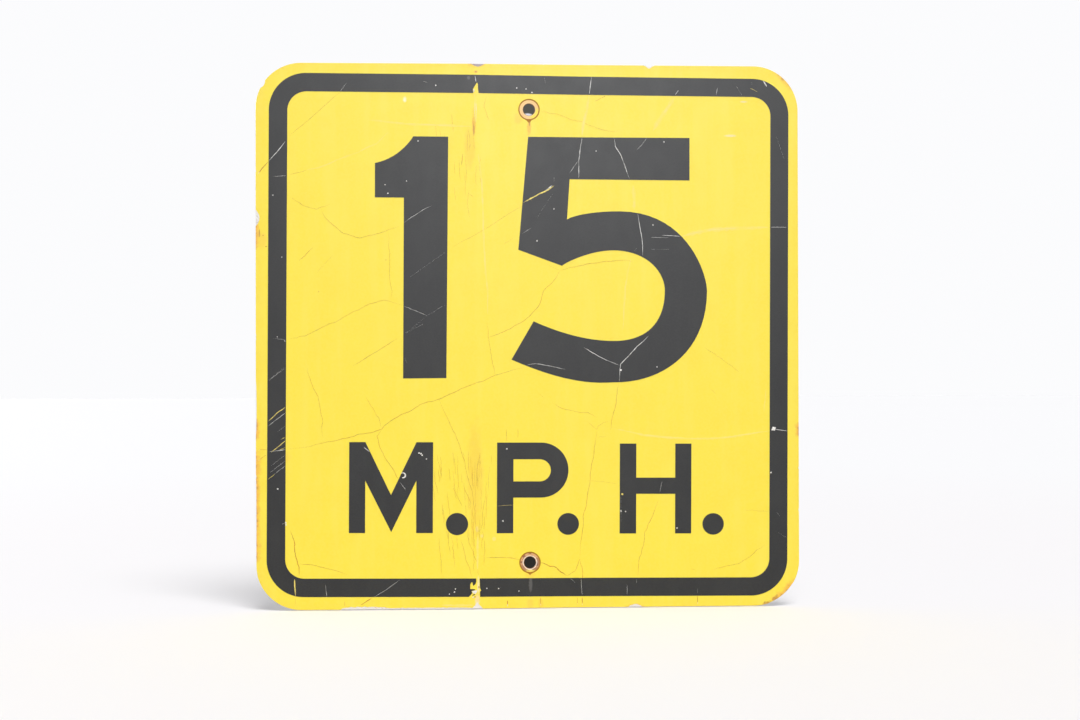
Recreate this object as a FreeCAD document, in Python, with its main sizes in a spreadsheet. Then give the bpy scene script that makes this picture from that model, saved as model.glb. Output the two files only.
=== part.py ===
import FreeCAD, Part
import math
import os
import Sketcher

# A square road sign plate: one piece of sheet steel, sheared and punched, then bent a
# little round the post that carried it. Millimetres. The face looks along -Y, +Z is up,
# and the origin is midway between the two bolt holes, on the back of the strip that
# lay against the post.

SIZES = (
    ("blank_width", 457.2, "the flat blank is 18 in wide"),
    ("blank_height", 457.2, "and 18 in tall"),
    ("sheet_thickness", 1.6, "16 gauge sheet steel"),
    ("corner_radius", 38.1, "1 1/2 in rounded corners"),
    ("edge_round", 0.3, "roll-over that shear and punch leave on the front edges"),
    ("hole_spacing", 381.0, "15 in between the bolt holes, one above the other"),
    ("hole_dia", 10.0, "punched bolt hole"),
    ("washer_dia", 18.4, "outside of the washer that left its print"),
    ("washer_dent", 0.2, "how deep the washer is pressed into the face"),
    ("crease_place", 44.0, "hole line to the sharp crease, on the left"),
    ("crease_angle", 2.3, "degrees that the left flap is bent back"),
    ("crease_radius", 6.0, "inside radius of the crease"),
    ("return_place", 40.0, "hole line to the gentle bend, on the right"),
    ("return_angle", 1.5, "degrees that the right flap is bent forward"),
    ("return_radius", 150.0, "inside radius of the gentle bend"),
    ("corner_dent_turn", 32.0, "degrees up the top left corner's arc to its dent"),
    ("corner_dent_radius", 6.0, "radius of that dent"),
    ("corner_dent_depth", 1.3, "depth of that dent"),
    ("top_nick_place", 102.0, "hole line to the nick in the top edge, on the right"),
    ("top_nick_radius", 2.6, "radius of that nick"),
    ("top_nick_depth", 1.4, "depth of that nick"),
)

LEFT, RIGHT = -1, 1
BACK, FORWARD = 1, -1
X_AXIS, Y_AXIS = range(-1, -3, -1)
ORIGIN = X_AXIS
START, END, CENTRE = range(1, 4)
TINY = 1e-3
FACING = 0.5

doc = FreeCAD.newDocument("road_sign")
sheet = doc.addObject("Spreadsheet::Sheet", "sizes")
for row, (alias, value, meaning) in enumerate(SIZES, start=1):
    sheet.set(f"A{row}", alias)
    sheet.set(f"B{row}", str(value))
    sheet.set(f"C{row}", meaning)
    sheet.setAlias(f"B{row}", alias)
doc.recompute()


def size(alias):
    """A driving dimension as a number, for first positions and for finding edges."""
    return float(getattr(sheet, alias))


def point(x, y):
    return FreeCAD.Vector(x, y, 0)


def along(start, angle, length):
    """The point at a length and an angle, in radians, from another point."""
    return start + point(math.cos(angle), math.sin(angle)) * length


def new_sketch(body, name, plane_role):
    """A sketch on one of the body's own origin planes."""
    sketch = body.newObject("Sketcher::SketchObject", name)
    plane = next(f for f in body.Origin.OriginFeatures if f.Role == plane_role)
    sketch.AttachmentSupport = (plane, [""])
    sketch.MapMode = "FlatFace"
    return sketch


def draw_line(sketch, start, end):
    return sketch.addGeometry(Part.LineSegment(start, end), False)


def draw_arc(sketch, centre, radius, angles):
    """An arc of a sketch. It always starts at the lower of its two angles."""
    circle = Part.Circle(centre, FreeCAD.Vector(0, 0, 1), radius)
    return sketch.addGeometry(Part.ArcOfCircle(circle, *sorted(angles)), False)


def draw_circle(sketch, centre, radius):
    circle = Part.Circle(centre, FreeCAD.Vector(0, 0, 1), radius)
    return sketch.addGeometry(circle, False)


def rule(sketch, *terms):
    """Adds a constraint to the sketch and returns its index."""
    return sketch.addConstraint(Sketcher.Constraint(*terms))


def driven(sketch, expression, *terms):
    """Adds a dimension to the sketch, tied to the sheet by an expression."""
    sketch.setExpression(f"Constraints[{rule(sketch, *terms)}]", expression)


def draw_flap(sketch, strip, side, toward, bend):
    """One flap of the bent section: two arcs about one centre, a line after each and a
    square end. strip holds the flat strip's lines, the one inside the bend first. The
    flap's length leaves the blank's width unchanged along the middle of the sheet."""
    thick = size("sheet_thickness")
    place = size(f"{bend}_place")
    radius = size(f"{bend}_radius")
    turn = math.radians(size(f"{bend}_angle"))
    run = size("blank_width") / 2 - place - (radius + thick / 2) * turn

    inner_face = 0 if toward == BACK else -thick
    centre = point(side * place, inner_face + toward * radius)
    seam = -toward * math.pi / 2
    elbow = seam + side * toward * turn
    outward = math.atan2(toward * math.sin(turn), side * math.cos(turn))
    arcs, lines, tips = [], [], []
    for reach in (radius, radius + thick):
        start = along(centre, elbow, reach)
        tips.append(along(start, outward, run))
        arcs.append(draw_arc(sketch, centre, reach, (seam, elbow)))
        lines.append(draw_line(sketch, start, tips[-1]))
    end = draw_line(sketch, *tips)

    at_seam, at_elbow = (START, END) if elbow > seam else (END, START)
    strip_end = START if side == LEFT else END
    rule(sketch, "Coincident", arcs[0], CENTRE, arcs[1], CENTRE)
    for face, tip in enumerate((START, END)):
        rule(sketch, "Tangent", strip[face], strip_end, arcs[face], at_seam)
        rule(sketch, "Tangent", lines[face], START, arcs[face], at_elbow)
        rule(sketch, "Coincident", lines[face], END, end, tip)
    rule(sketch, "Parallel", *lines)
    rule(sketch, "Perpendicular", lines[0], end)

    bend_length = (
        f"(sizes.{bend}_radius + sizes.sheet_thickness / 2)"
        f" * sizes.{bend}_angle * pi / 180"
    )
    flap_length = f"sizes.blank_width / 2 - sizes.{bend}_place - {bend_length}"
    driven(sketch, f"sizes.{bend}_radius", "Radius", arcs[0], radius)
    driven(sketch, f"sizes.{bend}_angle * 1 deg", "Angle", arcs[0], turn)
    driven(sketch, flap_length, "Distance", lines[0], run)


def draw_bent_section(body):
    """The sheet seen from above: a flat strip between a sharp crease, which bends the
    left flap back, and a gentle bend, which brings the right flap forward."""
    sketch = new_sketch(body, "bent_section", "XY_Plane")
    thick = size("sheet_thickness")
    left, right = -size("crease_place"), size("return_place")
    back = draw_line(sketch, point(left, 0), point(right, 0))
    front = draw_line(sketch, point(left, -thick), point(right, -thick))
    for tip in (START, END):
        rule(sketch, "PointOnObject", back, tip, X_AXIS)
    rule(sketch, "Horizontal", front)
    to_left = (back, START, ORIGIN, START)
    to_right = (ORIGIN, START, back, END)
    across = (front, START, back, START)
    driven(sketch, "sizes.crease_place", "DistanceX", *to_left, -left)
    driven(sketch, "sizes.return_place", "DistanceX", *to_right, right)
    driven(sketch, "sizes.sheet_thickness", "DistanceY", *across, thick)
    draw_flap(sketch, (back, front), LEFT, BACK, "crease")
    draw_flap(sketch, (front, back), RIGHT, FORWARD, "return")
    return sketch


def dress(body, name, base, edges, radius):
    """Rounds some edges of the body with a radius from the sheet."""
    fillet = body.newObject("PartDesign::Fillet", name)
    fillet.Base = (base, edges)
    fillet.setExpression("Radius", f"sizes.{radius}")
    doc.recompute()
    return fillet


def cut(body, name, sketch, depth=None):
    """A pocket from a sketch, through the sheet or to one of its sizes. It has to take
    something away: a pocket that points off the sheet would cut nothing unnoticed."""
    before = body.Shape.Volume
    pocket = body.newObject("PartDesign::Pocket", name)
    pocket.Profile = sketch
    if depth is None:
        pocket.SideType = "Symmetric"
        pocket.Type = "ThroughAll"
    else:
        pocket.setExpression("Length", f"sizes.{depth}")
    doc.recompute()
    if body.Shape.Volume > before - TINY:
        raise RuntimeError(f"{name} cut nothing")
    return pocket


def named_edges(shape, wanted):
    """The names of a shape's edges that pass a test."""
    return [f"Edge{i}" for i, edge in enumerate(shape.Edges, start=1) if wanted(edge)]


def forwardness(face):
    """How far the middle of a face looks forward: 1 on the front, 0 on a sheared edge."""
    u_low, u_high, v_low, v_high = face.ParameterRange
    return -face.normalAt((u_low + u_high) / 2, (v_low + v_high) / 2).y


def front_outline(shape):
    """The names of the edges where the front face meets the sheared edge all round."""

    def wanted(edge):
        faces = shape.ancestorsOfType(edge, Part.Face)
        looks = [forwardness(face) for face in faces]
        return max(looks) > FACING and min(map(abs, looks)) < FACING

    return named_edges(shape, wanted)


def draw_bolt_circles(body, name, diameter):
    """A sketch of the face with one circle about each bolt hole's centre."""
    sketch = new_sketch(body, name, "XZ_Plane")
    radius = size(diameter) / 2
    rise = size("hole_spacing") / 2
    for way in (1, -1):
        circle = draw_circle(sketch, point(0, way * rise), radius)
        ends = (ORIGIN, START), (circle, CENTRE)
        low, high = ends if way > 0 else reversed(ends)
        rule(sketch, "PointOnObject", circle, CENTRE, Y_AXIS)
        driven(sketch, "sizes.hole_spacing / 2", "DistanceY", *low, *high, rise)
        driven(sketch, f"sizes.{diameter}", "Diameter", circle, 2 * radius)
    return sketch


def draw_knocks(body):
    """A sketch of the face with the round bites that knocks took out of the edge: one on
    the top left corner's arc, one in the top edge."""
    sketch = new_sketch(body, "knock_circles", "XZ_Plane")
    reach = "(sizes.corner_radius + sizes.corner_dent_radius - sizes.corner_dent_depth)"
    turn = "(sizes.corner_dent_turn * 1 deg)"
    dent = (
        f"sizes.blank_width / 2 - sizes.corner_radius + {reach} * cos({turn})",
        f"sizes.blank_height / 2 - sizes.corner_radius + {reach} * sin({turn})",
        "sizes.corner_dent_radius",
    )
    nick = (
        "sizes.top_nick_place",
        "sizes.blank_height / 2 + sizes.top_nick_radius - sizes.top_nick_depth",
        "sizes.top_nick_radius",
    )
    for side, knock in ((LEFT, dent), (RIGHT, nick)):
        across, up, radius = (float(sketch.evalExpression(term)) for term in knock)
        circle = draw_circle(sketch, point(side * across, up), radius)
        ends = (ORIGIN, START), (circle, CENTRE)
        low, high = ends if side == RIGHT else reversed(ends)
        driven(sketch, knock[0], "DistanceX", *low, *high, across)
        driven(sketch, knock[1], "DistanceY", *ends[0], *ends[1], up)
        driven(sketch, knock[2], "Radius", circle, radius)
    return sketch


def build_sign_panel():
    """The plate, in the order of its life: bent section and blank, rounded corners and
    rolled edges, knocks, punched holes, and the prints of the two bolts' washers."""
    body = doc.addObject("PartDesign::Body", "sign_panel")
    body.Label = "sign_panel"
    body.Placement = FreeCAD.Placement()

    plate = body.newObject("PartDesign::Pad", "bent_sheet")
    plate.Profile = draw_bent_section(body)
    plate.SideType = "Symmetric"
    plate.setExpression("Length", "sizes.blank_height")
    doc.recompute()

    thick = size("sheet_thickness")
    corners = named_edges(plate.Shape, lambda edge: abs(edge.Length - thick) < TINY)
    rounded = dress(body, "rounded_corners", plate, corners, "corner_radius")
    rim = front_outline(rounded.Shape)
    dress(body, "rolled_outline", rounded, rim, "edge_round")

    cut(body, "knocks", draw_knocks(body))
    cut(body, "bolt_holes", draw_bolt_circles(body, "hole_circles", "hole_dia"))
    prints = draw_bolt_circles(body, "washer_circles", "washer_dia")
    prints.setExpression(".AttachmentOffset.Base.z", "sizes.sheet_thickness")
    pressed = cut(body, "washer_prints", prints, "washer_dent")

    hole_radius = size("hole_dia") / 2

    def hole_mouth(edge):
        on_front = edge.BoundBox.Center.y < -TINY
        round_edge = isinstance(edge.Curve, Part.Circle)
        return on_front and round_edge and abs(edge.Curve.Radius - hole_radius) < TINY

    mouths = named_edges(pressed.Shape, hole_mouth)
    dress(body, "rolled_holes", pressed, mouths, "edge_round")
    return body


def save(body):
    """Checks the whole document, then writes the body's solid to its own file."""
    doc.recompute()
    for thing in doc.Objects:
        if "Invalid" in thing.State or "Error" in thing.State:
            raise RuntimeError(f"{thing.Name} failed: {thing.State}")
    shape = body.Shape
    if shape.isNull() or not shape.isValid() or len(shape.Solids) != 1:
        raise RuntimeError(f"{body.Label} is not one valid solid")
    os.makedirs("parts", exist_ok=True)
    shape.exportStep(f"parts/{body.Label}.step")
    print(body.Label, f"{shape.Volume:.1f} mm3,", len(shape.Faces), "faces")


save(build_sign_panel())
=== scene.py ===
import bpy
import math
import numpy as np
import random
from mathutils import Matrix, Vector, geometry, noise


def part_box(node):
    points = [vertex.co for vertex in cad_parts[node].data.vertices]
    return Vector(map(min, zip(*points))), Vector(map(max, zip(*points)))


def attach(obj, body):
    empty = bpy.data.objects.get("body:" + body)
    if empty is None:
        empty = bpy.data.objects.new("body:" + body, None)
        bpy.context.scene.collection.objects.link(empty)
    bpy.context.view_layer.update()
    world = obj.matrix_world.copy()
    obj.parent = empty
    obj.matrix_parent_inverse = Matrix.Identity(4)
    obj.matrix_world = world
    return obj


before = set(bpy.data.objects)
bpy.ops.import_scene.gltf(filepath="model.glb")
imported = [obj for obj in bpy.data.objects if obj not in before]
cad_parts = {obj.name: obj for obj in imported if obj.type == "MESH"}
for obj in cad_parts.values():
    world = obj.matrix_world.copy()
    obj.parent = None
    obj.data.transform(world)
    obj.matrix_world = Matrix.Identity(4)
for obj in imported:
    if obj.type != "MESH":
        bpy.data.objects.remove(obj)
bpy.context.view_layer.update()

# The plate. One square of 16 gauge sheet steel, zinc coated, sheared, punched, and bent a
# little round the post that carried it. Its shape comes with the frame. Here it gets dull
# zinc behind, and the brown rust under the enamel that shows where the enamel has gone.
MM = 0.001
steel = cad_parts["sign_panel"]
half_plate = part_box("sign_panel")[1].z / MM
hole_heights = (190.5, -190.5)
post_left, post_right = -44.0, 40.0
corner_radius = 38.1


class Finish:
    """One finish of the sign: a material and the nodes that paint it, in millimetres."""

    def __init__(self, name, roughness, specular):
        self.material = bpy.data.materials.new(name)
        self.material.use_nodes = True
        self.tree = self.material.node_tree
        self.shader = self.tree.nodes["Principled BSDF"]
        self.shader.inputs["Roughness"].default_value = roughness
        self.shader.inputs["Specular IOR Level"].default_value = specular
        self.texture = self.tree.nodes.new("ShaderNodeTexCoord")
        in_metres = self.texture.outputs["Object"]
        self.place = self.node("VectorMath", {0: in_metres, "Scale": 1 / MM}, operation="SCALE")

    def node(self, kind, inputs, out=0, **settings):
        """Adds a node, sets or links its inputs, and returns one of its outputs."""
        made = self.tree.nodes.new(f"ShaderNode{kind}")
        for setting, value in settings.items():
            setattr(made, setting, value)
        for socket, value in inputs.items():
            if isinstance(value, bpy.types.NodeSocket):
                self.tree.links.new(value, made.inputs[socket])
            else:
                made.inputs[socket].default_value = value
        return made.outputs[out]

    def sums(self, operation, *values):
        """Runs one arithmetic operation through two or more values."""
        total = values[0]
        for value in values[1:]:
            total = self.node("Math", {0: total, 1: value}, operation=operation)
        return total

    def step(self, value, start, end, least=0.0, most=1.0):
        """Turns a value into one that eases from its least to its most between two levels."""
        limits = {"From Min": start, "From Max": end, "To Min": least, "To Max": most}
        return self.node("MapRange", {"Value": value, **limits}, interpolation_type="SMOOTHSTEP")

    def axis(self, name, vector=None):
        """The sign's own across (X) or up (Z) at each spot, or one part of a vector."""
        return self.node("SeparateXYZ", {0: vector or self.place}, out=name)

    def past_edge(self):
        """How far each spot lies past the blank's outline, or with a minus, short of it."""
        straight = half_plate - corner_radius
        far = self.node("VectorMath", {0: self.place}, operation="ABSOLUTE")
        far = {0: far, 1: (straight, straight, straight)}
        far = {0: self.node("VectorMath", far, operation="SUBTRACT"), 1: (0.0, 0.0, 0.0)}
        far = {0: self.node("VectorMath", far, operation="MAXIMUM")}
        far = self.node("VectorMath", far, out=1, operation="LENGTH")
        return self.sums("SUBTRACT", far, corner_radius)

    def cloud(self, size, tall=1.0, seed=0.0, detail=3.0):
        """Soft noise in blotches of one size, drawn out upwards for run marks."""
        squeeze = (1 / size, 1 / size, 1 / (size * tall))
        spot = {0: self.place, 1: squeeze, 2: (seed, seed, seed)}
        spot = self.node("VectorMath", spot, operation="MULTIPLY_ADD")
        return self.node("TexNoise", {"Vector": spot, "Scale": 1.0, "Detail": detail})

    def patch(self, across, up, wide, tall, soft=0.6, ragged=0.3, most=1.0):
        """A ragged patch at one place of the sign: its most in the middle, 0 outside."""
        away = {0: self.place, 1: (1 / wide, 0, 1 / tall), 2: (-across / wide, 0, -up / tall)}
        away = self.node("VectorMath", away, operation="MULTIPLY_ADD")
        away = self.node("VectorMath", {0: away}, out=1, operation="LENGTH")
        wobble = self.cloud(min(wide, tall) * 0.7, seed=across)
        wobble = self.sums("MULTIPLY", self.sums("SUBTRACT", wobble, 0.5), ragged * 2)
        return self.step(self.sums("ADD", away, wobble), 1.0, 1.0 - soft, most=most)

    def patches(self, places, **looks):
        """Several such patches as one mask."""
        return self.sums("MAXIMUM", *(self.patch(*place, **looks) for place in places))

    def mix(self, mask, under, over):
        """Lays one colour over another through a mask."""
        return self.node("Mix", {0: mask, 6: under, 7: over}, out=2, data_type="RGBA")

    def paint(self, socket, value):
        """Gives one quality of the finish its value at each spot."""
        self.tree.links.new(value, self.shader.inputs[socket])

    def relief(self, height, depth):
        """Gives the surface a fine relief, depth millimetres deep."""
        self.paint("Normal", self.node("Bump", {"Height": height, "Distance": depth * MM}))


def colour(red, green, blue):
    return (red, green, blue, 1.0)


RUST = colour(0.30, 0.13, 0.04)
DARK_RUST = colour(0.13, 0.052, 0.022)
ORANGE_RUST = colour(0.66, 0.29, 0.03)
BRIGHT_RUST = colour(0.44, 0.19, 0.01)
PALE_METAL = colour(0.84, 0.80, 0.77)

zinc = Finish("weathered_zinc", roughness=0.5, specular=0.15)
rust = zinc.mix(zinc.step(zinc.cloud(3.0, seed=2.0), 0.35, 0.65), DARK_RUST, RUST)
crystals_per_mm = 0.11
spangle = {"Vector": zinc.place, "Scale": crystals_per_mm}
spangle = zinc.node("TexVoronoi", spangle, out="Color")
spangle = zinc.sums("MULTIPLY", zinc.node("RGBToBW", {"Color": spangle}), 0.22)
back = zinc.mix(zinc.cloud(60.0), colour(0.40, 0.42, 0.43), colour(0.56, 0.57, 0.57))
back = zinc.mix(spangle, back, colour(0.66, 0.67, 0.67))
runs = zinc.step(zinc.cloud(12.0, tall=16.0, seed=3.0), 0.45, 0.8, most=0.5)
back = zinc.mix(runs, back, colour(0.30, 0.285, 0.25))
bite = zinc.sums("MULTIPLY", zinc.cloud(7.0, seed=5.0), 26.0)
edge_rust = zinc.step(zinc.sums("ADD", zinc.past_edge(), bite), 11.0, 17.0)
from_lines = [
    zinc.node("Math", {0: zinc.sums("SUBTRACT", zinc.axis("X"), line)}, operation="ABSOLUTE")
    for line in (post_left, post_right)
]
post_rust = zinc.step(zinc.sums("MINIMUM", *from_lines), 3.2, 0.2, most=0.7)
worn = zinc.step(zinc.cloud(5.0, tall=9.0, seed=8.0, detail=6.0), 0.38, 0.72)
post_rust = zinc.sums("MULTIPLY", post_rust, worn)
hole_rust = zinc.patches([(0.0, up, 13.0, 15.0) for up in hole_heights], ragged=0.6)
pits = zinc.step(zinc.cloud(5.0, seed=11.0, detail=6.0), 0.69, 0.76)
back_rust = zinc.sums("MAXIMUM", edge_rust, post_rust, hole_rust, pits)
back = zinc.mix(back_rust, back, rust)
in_cracks = zinc.mix(zinc.step(zinc.cloud(6.0, seed=2.0), 0.2, 0.6), RUST, ORANGE_RUST)
at_holes = zinc.patches([(0.0, up, 11.0, 11.0) for up in hole_heights], soft=0.1, ragged=0.1)
in_cracks = zinc.mix(at_holes, in_cracks, BRIGHT_RUST)
crease_foot, crease_head = (-44.4, -227.0, 7.0, 8.0), (-43.0, 229.0, 9.0, 6.0)
bare = zinc.patch(*crease_foot, soft=0.2, ragged=0.2)
bare = zinc.sums("MAXIMUM", bare, zinc.step(zinc.past_edge(), -3.6, -2.8))
clean = zinc.step(zinc.cloud(3.0, seed=17.0), 0.74, 0.66)
dull = zinc.patch(*crease_head, soft=0.3)
metal = zinc.mix(dull, PALE_METAL, colour(0.46, 0.40, 0.42))
front = zinc.mix(zinc.sums("MULTIPLY", bare, clean), in_cracks, metal)
facing = zinc.axis("Y", zinc.texture.outputs["Normal"])
on_front = zinc.step(facing, -0.4, -0.8)
zinc.paint("Base Color", zinc.mix(on_front, back, front))
zinc.paint("Metallic", zinc.step(zinc.sums("ADD", back_rust, on_front), 0.6, 0.1, most=0.85))
zinc.relief(zinc.cloud(1.6, detail=6.0), depth=0.06)
steel.material_slots[0].material = zinc.material

# The yellow enamel. Sprayed over the whole face and a little way round the sheared edge,
# and stoved. It has cracked all over, it is lost in chips along the edge and the crease,
# and rust has run from the bolt holes and stained it there and beside the edges.
enamel_top, enamel_foot = 0.15, -0.03

# The coat follows the steel's own bends and rolled edge. Its top and foot, like those of
# the coats after it, are heights above the steel. Its foot dips into the metal a little.
thickness = 1.6
edge_roll = 0.3
crease_turn = math.radians(2.3)
crease_radius = 6.0 + thickness
return_turn = math.radians(1.5)
return_radius = 150.0
bend_steps = 4
folds = [post_left, post_left - crease_radius * crease_turn] + [
    post_right + return_radius * return_turn * step / bend_steps
    for step in range(bend_steps + 1)
]


def past_bend(run, radius, turn):
    """How far out and how far aside a bent strip goes in a run, and its slope there."""
    slope = min(run / radius, turn)
    straight = run - radius * slope
    out = radius * math.sin(slope) + straight * math.cos(slope)
    aside = radius * (1 - math.cos(slope)) + straight * math.sin(slope)
    return out, aside, slope


def on_face(across, up, lift=0.0):
    """A place on the bent front, in metres, from its place on the flat blank. The sharp
    crease on the left turns the face back, the gentle bend on the right brings it
    forward, and lift is the height above the steel."""
    x, y, slope = across, -thickness, 0.0
    if across < post_left:
        out, aside, slope = past_bend(post_left - across, crease_radius, crease_turn)
        x, y = post_left - out, aside - thickness
    elif across > post_right:
        out, aside, slope = past_bend(across - post_right, return_radius, return_turn)
        x, y = post_right + out, -aside - thickness
    x -= lift * math.sin(slope)
    y -= lift * math.cos(slope)
    return Vector((x, y, up)) * MM


def over_edge(spot, outward, past, lift):
    """A place by the sheared edge, in metres. past is the way from the blank's outline
    as the enamel goes, over the rolled edge and on across the thickness of the sheet."""
    run = max(past + edge_roll, 0.0)
    turn = min(run / edge_roll, math.pi / 2)
    side = run - edge_roll * turn
    inside = min(past + edge_roll, 0.0)
    place = spot + outward * (inside + (edge_roll + lift) * math.sin(turn) - edge_roll)
    depth = edge_roll - (edge_roll + lift) * math.cos(turn) + side
    return on_face(place.x, place.y, -depth)


def arc(centre, radius, start, turn, steps=24):
    """Points along an arc, from a start angle and through a turn, in degrees."""
    angles = [math.radians(start + turn * step / steps) for step in range(steps + 1)]
    return [Vector(centre) + Vector((math.cos(a), math.sin(a))) * radius for a in angles]


def rounded_square(half_wide, half_tall, radius, steps=24):
    """The outline of a square with round corners, against the clock."""
    corners = ((1, -1, -90), (1, 1, 0), (-1, 1, 90), (-1, -1, 180))
    spots = []
    for x, y, start in corners:
        centre = (x * (half_wide - radius), y * (half_tall - radius))
        spots += arc(centre, radius, start, 90, steps)
    return spots


def stepped(loop, spacing):
    """A closed loop with points added along its long sides."""
    spots = []
    for a, b in zip(loop, loop[1:] + loop[:1]):
        steps = max(1, round((b - a).length / spacing))
        spots += [a.lerp(b, step / steps) for step in range(steps)]
    return spots


def sliver(points, width, rng, rough=0.03, finest=2.5):
    """The outline of a crack or scratch along a line: narrow, uneven, with the small
    crooks that such lines have, and pointed at both ends."""
    line = [Vector(points[0])]
    for end in map(Vector, points[1:]):
        leg = [line[-1], end]
        while (leg[1] - leg[0]).length > finest:
            finer = [leg[0]]
            for a, b in zip(leg, leg[1:]):
                aside = Vector((a.y - b.y, b.x - a.x)) * rng.gauss(0, rough)
                finer += [(a + b) / 2 + aside, b]
            leg = finer
        line += leg[1:]
    left, right = [], []
    tip, widening = 0.15, 5
    for i, spot in enumerate(line):
        way = line[min(i + 1, len(line) - 1)] - line[max(i - 1, 0)]
        aside = Vector((-way.y, way.x)).normalized()
        share = i / (len(line) - 1)
        taper = min(1.0, tip + widening * share, tip + widening * (1 - share))
        half = width / 2 * taper * rng.uniform(0.7, 1.3)
        left.append(spot + aside * half)
        right.append(spot - aside * half)
    return left + right[::-1]


def blob(across, up, radius, rng, corners=9):
    """The outline of a fleck or a small chip."""
    angles = [math.tau * corner / corners for corner in range(corners)]
    reaches = [radius * rng.uniform(0.65, 1.25) for _ in angles]
    return [
        Vector((across + reach * math.cos(angle), up + reach * math.sin(angle)))
        for angle, reach in zip(angles, reaches)
    ]


def within(spots, loop):
    """Which spots lie inside a closed loop, as an array of true and false."""
    x, y = spots[:, 0], spots[:, 1]
    inside = np.zeros(len(spots), bool)
    for a, b in zip(loop, loop[1:] + loop[:1]):
        if a[1] != b[1]:
            crosses = (a[1] > y) != (b[1] > y)
            inside ^= crosses & (x < (b[0] - a[0]) * (y - a[1]) / (b[1] - a[1]) + a[0])
    return inside


def cut_out(outline, openings):
    """A flat shape cut along an outline, with openings, and scored where the plate under
    it bends. Returns its spots, its triangles and which spots are the outline's."""
    spots, edges = [], []
    for loop in [outline] + openings:
        first = len(spots)
        spots += loop
        edges += [(first + i, first + (i + 1) % len(loop)) for i in range(len(loop))]
    lowest, highest = min(spot.x for spot in outline), max(spot.x for spot in outline)
    for fold in folds:
        if lowest < fold < highest:
            edges.append((len(spots), len(spots) + 1))
            spots += [Vector((fold, -half_plate)), Vector((fold, half_plate))]
    cut = geometry.delaunay_2d_cdt(spots, edges, [], 0, 1e-5)
    spots, triangles, sources = cut[0], cut[2], cut[3]
    flat = np.array([tuple(spot) for spot in spots])
    middles = flat[np.array(triangles)].mean(axis=1)
    keep = within(middles, outline)
    for opening in openings:
        low, high = np.min(opening, axis=0), np.max(opening, axis=0)
        near = np.flatnonzero(keep & np.all((middles > low) & (middles < high), axis=1))
        keep[near] = ~within(middles[near], opening)
    triangles = [triangle for triangle, kept in zip(triangles, keep) if kept]
    where = {source: i for i, ids in enumerate(sources) for source in ids}
    return spots, triangles, [where[i] for i in range(len(outline))]


def film(name, finish, tops, feet, faces):
    """A thin closed coat: its top, its underside and walls round all its edges."""
    used = sorted({i for face in faces for i in face})
    order = {old: new for new, old in enumerate(used)}
    faces = [tuple(order[i] for i in face) for face in faces]
    count = len(used)
    sides = {(face[i - 1], face[i]) for face in faces for i in range(len(face))}
    walls = [(b, a, a + count, b + count) for a, b in sorted(sides) if (b, a) not in sides]
    under = [tuple(i + count for i in reversed(face)) for face in faces]
    mesh = bpy.data.meshes.new(name)
    mesh.from_pydata([tops[i] for i in used] + [feet[i] for i in used], [], faces + under + walls)
    mesh.materials.append(finish.material)
    piece = bpy.data.objects.new(name, mesh)
    bpy.context.scene.collection.objects.link(piece)
    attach(piece, "root")
    return piece


def coat(name, finish, shapes, top, foot):
    """A coat of flat shapes laid on the face, each an outline and its openings."""
    tops, feet, faces = [], [], []
    for outline, openings in shapes:
        spots, triangles, _ = cut_out(outline, openings)
        faces += [tuple(i + len(tops) for i in triangle) for triangle in triangles]
        tops += [on_face(spot.x, spot.y, top) for spot in spots]
        feet += [on_face(spot.x, spot.y, foot) for spot in spots]
    return film(name, finish, tops, feet, faces)


rng = random.Random(15)

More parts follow.
